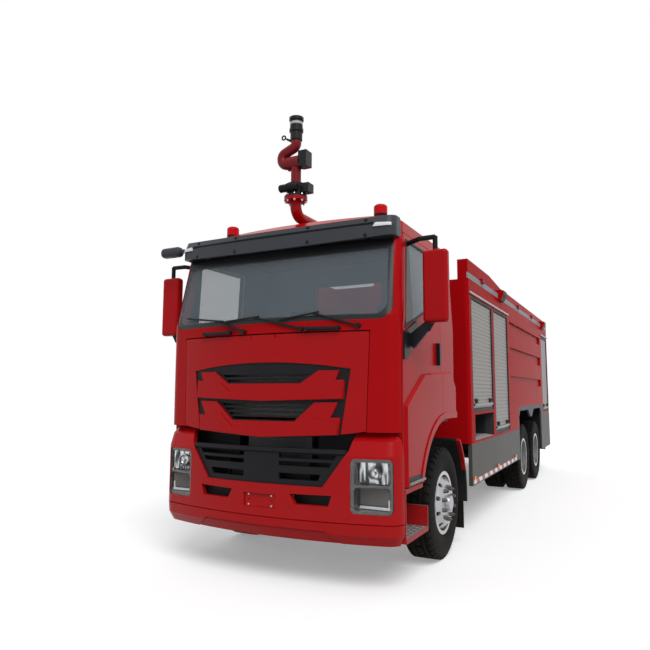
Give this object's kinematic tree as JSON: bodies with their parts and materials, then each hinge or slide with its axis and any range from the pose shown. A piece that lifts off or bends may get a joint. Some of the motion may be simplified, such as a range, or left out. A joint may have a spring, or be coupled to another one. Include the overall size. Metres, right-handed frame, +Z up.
{
  "type": "fire engine",
  "caption": "Three-axle tank fire engine with a hollow forward cab, roller-shutter lockers, twin rear wheels and a roof water monitor.",
  "frame": {"origin": "on the ground below the middle of the bounding box", "axes": "-Y to the front of the truck, +X to the driver's left, +Z up"},
  "size_m": [3.184, 9.68, 4.4398],
  "materials": {
    "paint_red": "gloss",
    "paint_grey": "satin",
    "arch_grey": "satin",
    "chassis_black": "satin",
    "engine_grey": "matte",
    "black_plastic": "matte",
    "trim_grey": "matte",
    "visor_dark": "gloss",
    "lamp_chrome": "polished",
    "lamp_clear": "clear",
    "window_glass": "clear",
    "lamp_red": "gloss",
    "lamp_amber": "gloss",
    "seat_cloth": "woven",
    "shutter_metal": "satin",
    "guide_black": "satin",
    "monitor_black": "satin",
    "tyre_rubber": "matte",
    "wheel_silver": "satin"
  },
  "bodies": {
    "truck": {"chassis_frame": "chassis_black", "front_axle": "chassis_black", "leaf_springs": "chassis_black", "rear_axles": "chassis_black", "powertrain": "engine_grey", "bumper": "paint_red", "bumper_lip": "paint_red", "lower_grille": "black_plastic", "headlamp_housings": "lamp_chrome", "headlamp_lenses": "lamp_clear", "cab_shell": "paint_red", "cab_glass": "window_glass", "sun_visor": "visor_dark", "beacons": "lamp_red", "front_fittings": "black_plastic", "cab_interior": "trim_grey", "steering_wheel": "black_plastic", "seats": "seat_cloth", "cab_steps": "paint_red", "mudguards": "black_plastic", "locker_front": "paint_red", "tank_section": "paint_red", "locker_rear": "paint_red", "roof_parapets": "paint_red", "tank_hatches": "shutter_metal", "roller_shutters": "shutter_metal", "shutter_guides": "guide_black", "side_skirts": "paint_grey", "rear_arches": "arch_grey", "side_lamps": "lamp_red", "marker_lamps": "lamp_amber", "rear_panel": "paint_grey", "rear_ladder": "shutter_metal", "roof_pipe": "paint_red"},
    "knuckle_left": {"knuckle_left": "chassis_black"},
    "wheel_front_left": {"tyre_front_left": "tyre_rubber", "rim_front_left": "wheel_silver"},
    "wheel_rear1_left": {"tyres_rear1_left": "tyre_rubber", "rims_rear1_left": "wheel_silver"},
    "wheel_rear2_left": {"tyres_rear2_left": "tyre_rubber", "rims_rear2_left": "wheel_silver"},
    "door_left": {"door_left": "paint_red", "door_glass_left": "window_glass", "mirror_left": "black_plastic"},
    "knuckle_right": {"knuckle_right": "chassis_black"},
    "wheel_front_right": {"tyre_front_right": "tyre_rubber", "rim_front_right": "wheel_silver"},
    "wheel_rear1_right": {"tyres_rear1_right": "tyre_rubber", "rims_rear1_right": "wheel_silver"},
    "wheel_rear2_right": {"tyres_rear2_right": "tyre_rubber", "rims_rear2_right": "wheel_silver"},
    "door_right": {"door_right": "paint_red", "door_glass_right": "window_glass", "mirror_right": "black_plastic"},
    "front_flap": {"front_flap": "paint_red", "upper_grille": "black_plastic"},
    "monitor_swivel": {"monitor_swivel": "paint_red"},
    "monitor_barrel": {"monitor_barrel": "monitor_black"}
  },
  "joints": [
    {"name": "steer_left", "type": "hinge", "parent": "truck", "child": "knuckle_left", "pos_m": [0.98, -3.33, 0.542], "axis": [0, 0, 1], "range_deg": [-40, 40]},
    {"name": "steer_right", "type": "hinge", "parent": "truck", "child": "knuckle_right", "pos_m": [-0.98, -3.33, 0.542], "axis": [0, 0, 1], "range_deg": [-40, 40]},
    {"name": "spin_front_left", "type": "hinge", "parent": "knuckle_left", "child": "wheel_front_left", "pos_m": [1.075, -3.33, 0.542], "axis": [1, 0, 0], "continuous": true},
    {"name": "spin_rear1_left", "type": "hinge", "parent": "truck", "child": "wheel_rear1_left", "pos_m": [0.9025, 1.5, 0.542], "axis": [1, 0, 0], "continuous": true},
    {"name": "spin_rear2_left", "type": "hinge", "parent": "truck", "child": "wheel_rear2_left", "pos_m": [0.9025, 2.87, 0.542], "axis": [1, 0, 0], "continuous": true},
    {"name": "open_door_left", "type": "hinge", "parent": "truck", "child": "door_left", "pos_m": [1.216, -4.536, 1.8], "axis": [0, 0, -1], "range_deg": [0, 70]},
    {"name": "spin_front_right", "type": "hinge", "parent": "knuckle_right", "child": "wheel_front_right", "pos_m": [-1.075, -3.33, 0.542], "axis": [1, 0, 0], "continuous": true},
    {"name": "spin_rear1_right", "type": "hinge", "parent": "truck", "child": "wheel_rear1_right", "pos_m": [-0.9025, 1.5, 0.542], "axis": [1, 0, 0], "continuous": true},
    {"name": "spin_rear2_right", "type": "hinge", "parent": "truck", "child": "wheel_rear2_right", "pos_m": [-0.9025, 2.87, 0.542], "axis": [1, 0, 0], "continuous": true},
    {"name": "open_door_right", "type": "hinge", "parent": "truck", "child": "door_right", "pos_m": [-1.216, -4.536, 1.8], "axis": [0, 0, 1], "range_deg": [0, 70]},
    {"name": "lift_flap", "type": "hinge", "parent": "truck", "child": "front_flap", "pos_m": [0, -4.805, 2.142], "axis": [-1, 0, 0], "range_deg": [0, 75]},
    {"name": "monitor_turn", "type": "hinge", "parent": "truck", "child": "monitor_swivel", "pos_m": [0, -4.25, 3.6], "axis": [0, 0, 1], "range_deg": [-170, 170]},
    {"name": "monitor_tilt", "type": "hinge", "parent": "monitor_swivel", "child": "monitor_barrel", "pos_m": [0, -4.25, 3.96], "axis": [1, 0, 0], "range_deg": [0, 110]}
  ],
  "couplings": [
    {"joint": "steer_right", "follows": "steer_left", "ratio": 1}
  ]
}
